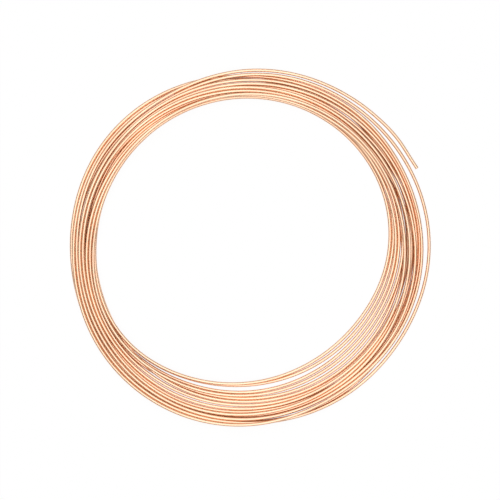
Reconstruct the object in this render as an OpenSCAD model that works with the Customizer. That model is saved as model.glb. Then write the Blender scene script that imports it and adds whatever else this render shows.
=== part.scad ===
// Coil of soft aluminium craft wire with a copper-coloured anodised surface.
// One length of round wire, wound by hand into a flat round coil and left untied.
// The coil lies on z = 0 with +Z up. The origin is on the floor under the middle of its outline.

/* [Wire] */
// Diameter of the round wire, mm
wire_d = 2; // [1.6:0.1:2.4]

/* [Coil] */
// Clear width of the bore, mm
bore_d = 174.6; // [150:0.2:200]
// How far the middle of the bore lies from the middle of the coil, toward the tight side, mm
bore_shift = 7.9; // [4:0.1:9]
// Turns in the middle layer
layer_turns = 5; // [3:1:6]
// Gap between neighbouring turns where they lie tight, mm
tight_gap = 0.1; // [0.1:0.1:0.5]
// Distance from turn to turn on the opposite side, where they are spread, mm
loose_pitch = 4.5; // [3.9:0.1:5.1]
// Gap between one layer and the next, mm
layer_gap = 0.03; // [0.03:0.01:0.1]
// Gap between the spread turns and the last one, which lies loose round them, mm
last_gap = 1; // [0.6:0.1:3]
// Direction in which the spread side lies, degrees anticlockwise from +X
loose_side = -45; // [-180:5:180]

/* [Free end] */
// How far beyond the bore's middle the free end's curve has its centre, mm
tail_spread = 9.7; // [9:0.1:16]
// Angle that the free end covers on its curve, degrees
tail_sweep = 102.2; // [60:0.1:110]
// Straight stretch at the cut end, mm
tail_straight = 12; // [8:0.5:20]

/* [Hidden] */
$fn = 48;
wire_r = wire_d / 2;
inner_r = bore_d / 2 + wire_r;
tight_pitch = wire_d + tight_gap;
layer_pitch = wire_d + layer_gap;
// Stretches that lie at an odd angle are this much thinner all round, so that each of
// their ends seats wholly inside the end of its neighbour.
seat_ease = 0.01;
// The free end's curve also runs this far into both of its neighbours, in degrees.
seat_turn = 0.05;

// The middle layer lies in the hollows of the bottom one on the tight side.
// On the spread side the three layers are staggered, so every turn shows from above.
tight_stagger = [0, 1 / 2, 0];
loose_stagger = [1 / 3, 2 / 3, 0];

// A crossing is where the wire meets the line from the tight side to the spread side.
// It is held as [distance from the bore's middle, height of the wire's centre]. The distance
// is kept to whole steps, so the two half turns that meet there agree on it exactly.
distance_step = 0.02;
function crossing(distance, layer) =
    [round(distance / distance_step) * distance_step, wire_r + layer * layer_pitch];
function tight(layer, k) = crossing(inner_r + (k + tight_stagger[layer]) * tight_pitch, layer);
function loose(layer, k) = crossing(inner_r + (k + loose_stagger[layer]) * loose_pitch, layer);
last_loose = crossing(loose(0, layer_turns)[0] + wire_d + last_gap, 0);

// The wire's whole way, as crossings on the tight and the spread side in turn: out along the
// bottom layer, back in along the middle, out along the top, and down round the outside.
crossings = [
    for (k = [0 : layer_turns]) each [tight(0, k), loose(0, k)],
    for (k = [layer_turns : -1 : 1]) each [tight(1, k), loose(1, k - 1)],
    tight(1, 0),
    for (k = [1 : layer_turns - 2]) each [loose(2, k - 1), tight(2, k)],
    loose(2, layer_turns - 2),
    tight(2, layer_turns + 1),
    last_loose,
    tight(0, layer_turns + 1)
];
half_turns = len(crossings) - 1;

// A stretch of the wire bent to one radius, anticlockwise from +X.
module bent_wire(radius, sweep, ease = 0) {
    rotate_extrude(angle = sweep)
        translate([radius, 0])
            circle(r = wire_r - ease);
}

// Half a turn between two crossings. Where they differ in height it lies in a tilted plane,
// which still meets both of its neighbours square on, so the wire climbs without a kink.
module half_turn(start, end) {
    rise = end[1] - start[1];
    span = norm([start[0] + end[0], rise]);
    translate([(end[0] - start[0]) / 2, 0, (start[1] + end[1]) / 2])
        rotate([0, -asin(rise / span), 0])
            bent_wire(span / 2, 180, rise == 0 ? 0 : seat_ease);
}

// The last stretch, which springs away from the coil and ends straight, with a square cut.
module free_end(start) {
    radius = start[0] + tail_spread;
    translate([tail_spread, 0, start[1]])
        rotate([0, 0, 180 - tail_sweep]) {
            rotate([0, 0, -seat_turn])
                bent_wire(radius, tail_sweep + 2 * seat_turn, seat_ease);
            translate([radius, 0, 0])
                rotate([90, 0, 0])
                    cylinder(h = tail_straight, r = wire_r);
        }
}

module wire_coil() {
    color([0.93, 0.66, 0.50])
        rotate([0, 0, loose_side])
            translate([-bore_shift, 0, 0]) {
                for (i = [0 : half_turns - 1])
                    rotate([0, 0, 180 * (i % 2)])
                        half_turn(crossings[i], crossings[i + 1]);
                free_end(crossings[half_turns]);
            }
}

wire_coil();
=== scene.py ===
import math

import bpy
import numpy as np
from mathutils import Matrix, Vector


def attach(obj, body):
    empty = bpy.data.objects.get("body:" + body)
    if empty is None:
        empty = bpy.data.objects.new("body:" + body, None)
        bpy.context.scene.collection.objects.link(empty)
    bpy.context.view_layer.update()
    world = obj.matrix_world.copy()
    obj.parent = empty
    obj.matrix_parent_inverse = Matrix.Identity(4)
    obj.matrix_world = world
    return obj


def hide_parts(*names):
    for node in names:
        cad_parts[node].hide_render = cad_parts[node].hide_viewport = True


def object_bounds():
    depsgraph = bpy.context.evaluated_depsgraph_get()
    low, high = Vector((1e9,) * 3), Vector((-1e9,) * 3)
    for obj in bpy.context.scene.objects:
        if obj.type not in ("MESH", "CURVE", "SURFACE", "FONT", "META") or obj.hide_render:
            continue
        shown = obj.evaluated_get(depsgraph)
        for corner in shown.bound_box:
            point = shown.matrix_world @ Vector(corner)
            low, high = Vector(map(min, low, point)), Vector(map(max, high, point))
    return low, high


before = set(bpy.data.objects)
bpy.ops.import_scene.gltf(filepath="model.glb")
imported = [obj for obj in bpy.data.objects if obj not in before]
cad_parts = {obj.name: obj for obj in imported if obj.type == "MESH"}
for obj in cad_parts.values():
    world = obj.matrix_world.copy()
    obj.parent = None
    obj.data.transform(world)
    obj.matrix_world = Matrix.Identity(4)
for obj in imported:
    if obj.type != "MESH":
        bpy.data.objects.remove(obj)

cad_low, cad_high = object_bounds()

# ---------------------------------------------------------------------------------------------------
# Camera. It looks straight down on the coil from a metre and a half up, with +Y upward in its view. A long
# lens keeps the outer flank of every turn from showing. The view is 303 mm wide at the coil.
# ---------------------------------------------------------------------------------------------------
camera_height = 1.5
view_width = 0.303
sensor_width = 36.0               # mm
camera_data = bpy.data.cameras.new("camera")
camera_data.sensor_width = sensor_width
camera_data.lens = sensor_width * camera_height / view_width
camera_data.clip_start, camera_data.clip_end = 0.05, 50.0
camera = bpy.data.objects.new("camera", camera_data)
camera.location = (-0.0007, -0.0009, camera_height + (cad_low.z + cad_high.z) / 2)
bpy.context.collection.objects.link(camera)
bpy.context.scene.camera = camera

# ---------------------------------------------------------------------------------------------------
# The wire: ten metres of soft 2 mm aluminium wire, drawn through a die and given a clear copper-coloured
# anodised skin. It is one piece, wound by hand into a flat round hank: each turn is laid beside and
# across the turns before it, the stack settles under its own weight, and the outer end springs clear.
# ---------------------------------------------------------------------------------------------------
wire_diameter = 2.0               # mm, as every length in this section until the mesh is made
places = 12                       # set-out places round a turn, a clock face seen from above
stations = 72                     # where the wire is worked out round a turn, 5 degrees apart
start_bearing = 315.0             # the buried inner end; bearings run clockwise from +Y
start_radius = 95.45
last_bearing = 65.0               # where the laid turns stop, a little past the tip's bearing
tip = np.array([100.74, 48.553, 1.0])             # the free end
tip_way = np.array([0.541708, -0.840567, 0.0])    # the way the free end points
touching_gap = 0.02               # aimed for between touching turns while they settle
start_rise = 0.9                  # from one turn to the next in the stack before it settles
lead_sweep = 60                   # degrees over which the inner end comes to its start radius
straight_from = 48                # bearing where the free end starts to ease onto its straight stretch
straight_ease = 10                # degrees that it takes

# Each turn as it is laid, to the nearest half millimetre: its distance from the middle at the twelve places,
# and a mark for what it does at each. A dot is buried and free to shift, 0 lies on the floor in view, 1 lies
# on the bottom layer, and 2 lies over the top.
lead_in = ([96.5, 96.0], "..")
turns = [
    ([96, 94.5, 92.5, 92, 91.5, 92.5, 93, 95, 96, 96.5, 97.5, 97.5], ".....111...."),
    ([98, 98, 96, 95, 93.5, 93.5, 95, 97.5, 99.5, 97.5, 95, 94], "....1111.112"),
    ([93.5, 93, 92.5, 93, 94.5, 95, 97, 100, 101, 99.5, 97, 95], "22212222222."),
    ([93, 91.5, 91.5, 89.5, 86.5, 86.5, 89, 93, 97, 95.5, 94, 93], "011100012000"),
    ([92, 90.5, 88, 84, 79, 78, 81.5, 88, 95, 95.5, 96, 95.5], "000000011..."),
    ([95, 92.5, 90, 85.5, 81.5, 80.5, 82.5, 88.5, 95.5, 97, 97, 96], "..000000...."),
    ([94.5, 93, 90, 87.5, 84, 84, 87, 91.5, 97.5, 99.5, 99.5, 98.5], "..000000...."),
    ([96.5, 95.5, 93.5, 91.5, 89, 89.5, 91, 94, 99, 100.5, 101, 100], "....0000...."),
    ([98, 97.5, 98, 99.5, 100.5, 100.5, 103.5, 105.5, 105.5, 104, 103, 102], "122222222222"),
    ([102, 102.5, 102.5, 102, 101.5, 104, 105, 108, 109, 109, 110, 108], "11000000..10"),
    ([104.5, 104, 103, 103.5, 103, 102.5, 106.5, 109.5, 109.5, 107.5, 108, 106.5], "001111111110"),
    ([103.5, 102.5, 99.5, 97.5, 97, 96.5, 99, 102, 102.5, 102.5, 100.5, 97.5], "......110.11"),
    ([95.5, 94.5, 94.5, 97.5, 96, 97, 100.5, 103.5, 103.5, 102.5, 101, 99], "11.0.111..11"),
    ([97.5, 96, 95.5, 96, 97, 99, 102, 104.5, 105, 104.5, 102.5, 100.5], "2111211...00"),
    ([99.5, 100, 100.5, 100.5, 99.5, 100.5, 104, 106.5, 106.5, 105.5, 105, 103.5], "111011....01"),
    ([105.5, 106.5, 107.5, 108, 106, 105.5, 105.5, 107.5, 107.5, 105.5, 106.5, 105.5], "100000011112"),
]
tail = ([108, 109.5, 111.5, 113.5], "2000")
# The bundle's edges at the twelve places, which a turn pressed down into it can't pass.
bundle_inside = [92, 90.5, 88, 84, 79, 77.5, 81.5, 88, 95, 95, 94.5, 93]
bundle_outside = [107.5, 103.5, 102.5, 103.5, 103, 102.5, 107, 110, 110, 108, 110.5, 109]


def through(values, per_gap):
    """A natural cubic spline through values at even spacing, sampled per_gap times a gap. Its second
    slopes m solve m[k-1] + 4 m[k] + m[k+1] = 6 (v[k-1] - 2 v[k] + v[k+1]), with none at the ends."""
    values = np.asarray(values, float)
    count = len(values)
    rows = np.eye(count) * 4 + np.eye(count, k=1) + np.eye(count, k=-1)
    rows[0], rows[-1] = np.eye(count)[0], np.eye(count)[-1]
    pull = np.zeros_like(values)
    pull[1:-1] = 6 * (values[2:] - 2 * values[1:-1] + values[:-2])
    bend = np.linalg.solve(rows, pull)
    t = np.arange((count - 1) * per_gap + 1) / per_gap
    k = np.minimum(t.astype(int), count - 2)
    u = t - k
    w = 1 - u
    return w * values[k] + u * values[k + 1] + ((w**3 - w) * bend[k] + (u**3 - u) * bend[k + 1]) / 6


def lay_wire():
    """The wire's centre line round the coil as radius, height and bearing at every station. The turns
    start stacked apart in the order of what they lie on, then sink a little at a time. At each step a
    turn is drawn back to its set-out radius, its bends are evened out, and wherever two wires at one
    station are closer than a diameter both are pushed half of the shortfall apart."""
    laid = [lead_in, *turns, tail]
    radius = through(np.concatenate([r for r, _ in laid]), stations // places)
    marks = [mark for _, word in laid for mark in word]
    levels = np.array([0.0 if mark == "." else float(mark) for mark in marks])
    buried = np.array([mark == "." for mark in marks], float)
    steps = np.arange(len(radius))
    level, buried = (np.interp(steps * places / stations, np.arange(len(marks)), row)
                     for row in (levels, buried))
    bearing = start_bearing - 15 + steps * 360 / stations      # the lead-in starts half a place early
    kept = (bearing >= start_bearing) & (bearing <= 360 * (len(turns) + 1) + last_bearing)
    radius, level, buried, bearing = radius[kept], level[kept], buried[kept], bearing[kept]
    count = len(radius)
    turn, station = np.divmod(np.arange(count), stations)
    lanes = turn[-1] + 1

    def on_grid(values, empty=0.0):
        grid = np.full((lanes, stations), empty)
        grid[turn, station] = values
        return grid

    def evening(stiffness, reach=20):
        """What evens out the bends of a row of values: a weighted mean of the values up to reach places
        away, the weights a middle row of the inverse of 1 + stiffness D'D, D the second difference."""
        second = np.diff(np.eye(4 * reach + 1), 2, axis=0)
        weights = np.linalg.inv(np.eye(4 * reach + 1) + stiffness * second.T @ second)
        weights = weights[2 * reach, reach:3 * reach + 1]
        return lambda row: np.convolve(
            np.pad(row, reach, "reflect", reflect_type="odd"), weights / weights.sum(), "valid")

    even_plan, even_rise, even_last = evening(30.0), evening(60.0), evening(1.5)
    here = on_grid(1.0) > 0
    one, other = np.triu_indices(lanes, 1)
    both_here = here[one] & here[other]
    apart = wire_diameter + touching_gap

    def pushes(r, z):
        """How far each station's wires move in radius and height to clear each other."""
        r, z = on_grid(r), on_grid(z)
        dr, dz = r[other] - r[one], z[other] - z[one]
        gap = np.sqrt(dr * dr + dz * dz) + 1e-9
        short = np.where(both_here, np.clip(apart - gap, 0, None), 0)
        move_r, move_z, touches = np.zeros_like(r), np.zeros_like(z), np.zeros_like(r)
        for lane, sign in ((one, -0.5), (other, 0.5)):
            np.add.at(move_r, lane, sign * short * dr / gap)
            np.add.at(move_z, lane, sign * short * dz / gap)
            np.add.at(touches, lane, short > 0)
        share = 1 / np.sqrt(np.maximum(touches, 1))
        return (move_r * share)[turn, station], (move_z * share)[turn, station]

    order = np.argsort(np.argsort(on_grid((level - buried) * 100 + turn, 1e9), axis=0), axis=0)
    height = even_rise(wire_diameter / 2 + start_rise * order[turn, station])
    aim = radius.copy()
    hold = 1 - 0.85 * buried        # how firmly a turn is drawn back to its set-out radius
    slide = 0.3 + 0.7 * buried      # how freely it moves sideways when it is pushed
    spot = (bearing % 360) * places / 360
    edge = np.arange(places + 1)
    inside = np.minimum(aim, np.interp(spot, edge, bundle_inside + bundle_inside[:1]))
    outside = np.maximum(aim, np.interp(spot, edge, bundle_outside + bundle_outside[:1]))
    rounds = 900
    for step in range(rounds):
        part = step / rounds
        if part < 0.7:              # the stack comes down
            pull, sink, even, sideways, passes = 0.10, 0.03, 0.25, slide, 3
        elif part < 0.88:           # it settles more gently
            pull, sink, even, sideways, passes = 0.05, 0.015, 0.15, np.minimum(1, slide + 0.1), 4
        else:                       # what still touches is cleared
            ease = (1 - part) / 0.12
            pull, sink, even, sideways, passes = 0.01 * ease, 0.002 * ease, 0.0, 0.7, 6
        radius = radius + pull * hold * (aim - radius)
        height = height - sink
        off = radius - aim
        if even:
            radius = aim + (1 - even) * off + even * even_plan(off)
            height = (1 - even) * height + even * even_rise(height)
        else:
            radius = aim + 0.7 * off + 0.3 * even_last(off)
            height = 0.7 * height + 0.3 * even_last(height)
        for _ in range(passes):
            move_r, move_z = pushes(radius, height)
            radius = radius + move_r * sideways
            if even:
                radius = np.clip(radius, inside, outside)
            height = np.maximum(height + move_z, wire_diameter / 2)
    return radius, height, bearing


def centre_line(spacing):
    """Points along the whole wire, spacing apart, and its length. The laid turns run from the inner end
    to the free end, where they ease onto its straight stretch. A straight line through the tip has the
    radius (x w_y - y w_x) / (sin b w_y - cos b w_x) at bearing b, for a tip (x, y) and a way (w_x, w_y)."""
    radius, height, bearing = lay_wire()
    turned = np.radians(bearing)
    lead = np.clip(1 - (bearing - start_bearing) / lead_sweep, 0, 1)
    radius = radius + (start_radius - radius[0]) * lead**2
    last = 360 * (len(turns) + 1)
    ease = np.clip((bearing - last - straight_from) / straight_ease, 0, 1)
    ease = ease * ease * (3 - 2 * ease)
    straight = (tip[0] * tip_way[1] - tip[1] * tip_way[0]) / (
        np.sin(turned) * tip_way[1] - np.cos(turned) * tip_way[0])
    radius = radius + ease * (straight - radius)
    height = height + ease * (tip[2] - height)
    laid = np.stack([radius * np.sin(turned), radius * np.cos(turned), height], axis=1)
    fine = np.stack([through(laid[:, axis], 12) for axis in range(3)], axis=1)
    beyond = ((fine - tip) @ tip_way > 0) & (np.arange(len(fine)) > len(fine) - 40)
    fine = np.concatenate([fine[~beyond], tip[None]])
    along = np.concatenate([[0], np.cumsum(np.linalg.norm(np.diff(fine, axis=0), axis=1))])
    at = np.linspace(0, along[-1], int(round(along[-1] / spacing)) + 1)
    return np.stack([np.interp(at, along, fine[:, axis]) for axis in range(3)], axis=1), along[-1]


def round_bar(line, radius, sides, nick):
    """A round bar along a line. At each point a ring stands square to the line: centre plus radius times
    cos a of the sideways direction plus sin a of the upward one. The cut ends are flat, with an edge
    rounded by nick. It gives the points, the quads, the end triangles, and angle and distance a point."""
    way = np.gradient(line, axis=0)
    way /= np.linalg.norm(way, axis=1, keepdims=True)
    side = np.cross(way, [0, 0, 1.0])
    side /= np.linalg.norm(side, axis=1, keepdims=True)
    up = np.cross(side, way)
    far = np.concatenate([[0], np.cumsum(np.linalg.norm(np.diff(line, axis=0), axis=1))])
    # the ends get two more rings each: the corner's middle and the flat's rim
    turn_in = nick * (1 - math.sqrt(0.5))
    ring_at = [0, 0, 0, *range(1, len(line) - 1), -1, -1, -1]
    back = [0.0, turn_in, nick, *[0.0] * (len(line) - 2), -nick, -turn_in, 0.0]
    size = [radius - nick, radius - turn_in, radius, *[radius] * (len(line) - 2),
            radius, radius - turn_in, radius - nick]
    back, size = np.array(back)[:, None], np.array(size)
    middle = line[ring_at] + way[ring_at] * back
    angle = np.arange(sides) * 2 * math.pi / sides
    ring = (np.cos(angle)[:, None] * side[ring_at][:, None]
            + np.sin(angle)[:, None] * up[ring_at][:, None])
    points = middle[:, None] + ring * size[:, None, None]
    rings = len(points)
    index = np.arange(rings * sides).reshape(rings, sides)
    nxt = np.roll(index, -1, axis=1)
    quads = np.stack([index[:-1], nxt[:-1], nxt[1:], index[1:]], axis=-1).reshape(-1, 4)
    first, last = rings * sides, rings * sides + 1
    caps = np.concatenate([
        np.stack([nxt[0], index[0], np.full(sides, first)], axis=1),
        np.stack([index[-1], nxt[-1], np.full(sides, last)], axis=1)])
    points = np.concatenate([points.reshape(-1, 3), line[[0, -1]]])
    around = np.concatenate([np.tile(np.arange(sides) / sides, rings), [0.5, 0.5]])
    distance = np.concatenate([np.repeat(far[ring_at], sides), far[[0, -1]]])
    return points, quads, caps, around, distance


wire_line, wire_length = centre_line(spacing=2.6)
wire_line, wire_length = wire_line / 1000, wire_length / 1000
wire_points, wire_quads, wire_caps, wire_around, wire_along = round_bar(
    wire_line, wire_diameter / 2000, sides=20, nick=0.00012)
wire_mesh = bpy.data.meshes.new("wire")
wire_mesh.from_pydata(wire_points.tolist(), [], wire_quads.tolist() + wire_caps.tolist())
wire_mesh.polygons.foreach_set("use_smooth", [True] * len(wire_quads) + [False] * len(wire_caps))
corner_point = np.zeros(len(wire_mesh.loops), int)
wire_mesh.loops.foreach_get("vertex_index", corner_point)
unwrapped = np.stack([wire_around[corner_point], wire_along[corner_point]], axis=1)
# a quad's two corners one step further round: at the seam they read a full turn instead of none
closing = np.arange(len(wire_quads) * 4).reshape(-1, 4)[:, 1:3]
late = unwrapped[closing.ravel(), 0] == 0
unwrapped[closing.ravel()[late], 0] = 1.0
wire_mesh.uv_layers.new(name="along").data.foreach_set("uv", unwrapped.ravel())
wire_mesh.update()
wire = bpy.data.objects.new("wire", wire_mesh)
bpy.context.collection.objects.link(wire)


class Shade:
    """One value in a material's nodes. Sums and products of values add Math nodes, and node() adds any
    other node, from its type, its settings, and the values or links of its sockets."""

    def __init__(self, tree, socket=None):
        self.tree, self.socket = tree, socket

    def node(self, kind, settings=None, out=0, **sockets):
        made = self.tree.nodes.new("ShaderNode" + kind)
        for name, value in (settings or {}).items():
            setattr(made, name, value)
        for name, value in sockets.items():
            key = int(name[1:]) if name[0] == "_" and name[1:].isdigit() else name.replace("_", " ")
            if isinstance(value, Shade):
                self.tree.links.new(value.socket, made.inputs[key])
            else:
                made.inputs[key].default_value = value
        return Shade(self.tree, made.outputs[out] if made.outputs else None)

    def maths(self, operation, *values):
        return self.node("Math", {"operation": operation}, **{f"_{k}": v for k, v in enumerate(values)})

    def __add__(self, other):
        return self.maths("ADD", self, other)

    def __mul__(self, other):
        return self.maths("MULTIPLY", self, other)

    __radd__, __rmul__ = __add__, __mul__


def new_material(name):
    """An empty material and its Shade to build on."""
    material = bpy.data.materials.new(name)
    material.use_nodes = True
    material.node_tree.nodes.clear()
    return material, Shade(material.node_tree)


# Copper-coloured skin: metal, a little warmer and duller in places where it was handled, with the fine
# lines that the die leaves along the wire.
skin, make = new_material("copper coloured skin")
copper = (0.92, 0.62, 0.43, 1.0)
copper_dull = (0.89, 0.56, 0.37, 1.0)
uv = make.node("SeparateXYZ", Vector=make.node("UVMap", {"uv_map": "along"}))
around = uv * (2 * math.pi)
along = Shade(uv.tree, uv.socket.node.outputs[1])
die_lines = make.node("TexNoise", Scale=1.0, Detail=2.0, Roughness=0.6, Vector=make.node(
    "CombineXYZ", X=make.maths("COSINE", around) * 9.0, Y=make.maths("SINE", around) * 9.0,
    Z=along * 25.0))
where = make.node("TexCoord", out=3)
handled = make.node("TexNoise", Scale=28.0, Detail=3.0, Roughness=0.55, Vector=where)
handled = make.node("MapRange", _0=handled, _1=0.42, _2=0.68, _3=0.0, _4=1.0)
specks = make.node("TexNoise", Scale=420.0, Detail=2.0, Roughness=0.5, Vector=where)
specks = make.node("MapRange", _0=specks, _1=0.66, _2=0.74, _3=0.0, _4=1.0)
colour = make.node("Mix", {"data_type": "RGBA"}, out=2, _0=handled * 0.7, _6=copper, _7=copper_dull)
rough = 0.24 + 0.06 * handled + 0.06 * die_lines + 0.12 * specks
bump = make.node("Bump", Strength=0.1, Distance=0.00001, Height=die_lines + specks * 0.5)
surface = make.node("BsdfPrincipled", Base_Color=colour, Metallic=1.0, Roughness=rough, Normal=bump,
                    Coat_Weight=0.2, Coat_Roughness=0.12, Coat_IOR=1.5,
                    Specular_Tint=(0.85, 0.55, 0.4, 1.0))
make.node("OutputMaterial", Surface=surface)

# Cut ends: the colour is only skin deep, so the cutters leave plain bright aluminium with fine drag
# marks across it.
cut, make = new_material("cut aluminium")
where = make.node("TexCoord", out=3)
drag = make.node("TexWave", {"wave_type": "BANDS", "bands_direction": "Z"}, Scale=900.0, Distortion=3.0,
                 Detail=2.0, Vector=where)
surface = make.node("BsdfPrincipled", Base_Color=(0.86, 0.85, 0.84, 1.0), Metallic=1.0,
                    Roughness=0.3 + 0.15 * drag,
                    Normal=make.node("Bump", Strength=0.4, Distance=0.00003, Height=drag))
make.node("OutputMaterial", Surface=surface)

wire_mesh.materials.append(skin)
wire_mesh.materials.append(cut)
wire_mesh.polygons.foreach_set("material_index", [0] * len(wire_quads) + [1] * len(wire_caps))

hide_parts("wire_coil")
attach(wire, "root")

# ---------------------------------------------------------------------------------------------------
# Floor and light: a plain white floor under one large softbox, longer from the back left to the front
# right than across, in a dim white room. The camera sees the floor's shadow only faintly.
# ---------------------------------------------------------------------------------------------------
floor_mesh = bpy.data.meshes.new("floor")
floor_mesh.from_pydata([(-4, -4, 0), (4, -4, 0), (4, 4, 0), (-4, 4, 0)], [], [(0, 1, 2, 3)])
floor = bpy.data.objects.new("floor", floor_mesh)
bpy.context.collection.objects.link(floor)
paper, make = new_material("white floor")
rays = make.node("LightPath")
mirrored = make.maths("MAXIMUM", Shade(rays.tree, rays.socket.node.outputs["Is Glossy Ray"]),
                      Shade(rays.tree, rays.socket.node.outputs["Is Transmission Ray"]))
glow = make.maths("MAXIMUM", rays * 0.93, mirrored * 0.3)
surface = make.node("MixShader", _0=glow, _1=make.node("BsdfDiffuse", Color=(1.0, 1.0, 1.0, 1.0)),
                    _2=make.node("Emission", Color=(1.0, 1.0, 1.0, 1.0), Strength=1.0))
make.node("OutputMaterial", Surface=surface)
floor_mesh.materials.append(paper)

softbox_data = bpy.data.lights.new("softbox", "AREA")
softbox_data.shape = "RECTANGLE"
softbox_data.size, softbox_data.size_y = 2.4, 4.4
softbox_data.energy = 49.0
softbox = bpy.data.objects.new("softbox", softbox_data)
softbox.location = (0.0, 0.0, 1.6)
softbox.rotation_euler = (0.0, 0.0, math.radians(20.0))       # its long side runs from bearing 340 to 160
bpy.context.collection.objects.link(softbox)

room = bpy.data.worlds.new("room")
room.use_nodes = True
room.node_tree.nodes.clear()
make = Shade(room.node_tree)
rays = make.node("LightPath")
backdrop = make.node("Background", Color=(1.0, 1.0, 1.0, 1.0), Strength=1.0)
walls = make.node("Background", Color=(1.0, 1.0, 1.0, 1.0), Strength=0.22)
make.node("OutputWorld", Surface=make.node("MixShader", _0=rays, _1=walls, _2=backdrop))
bpy.context.scene.world = room
bpy.context.scene.view_settings.view_transform = "Standard"
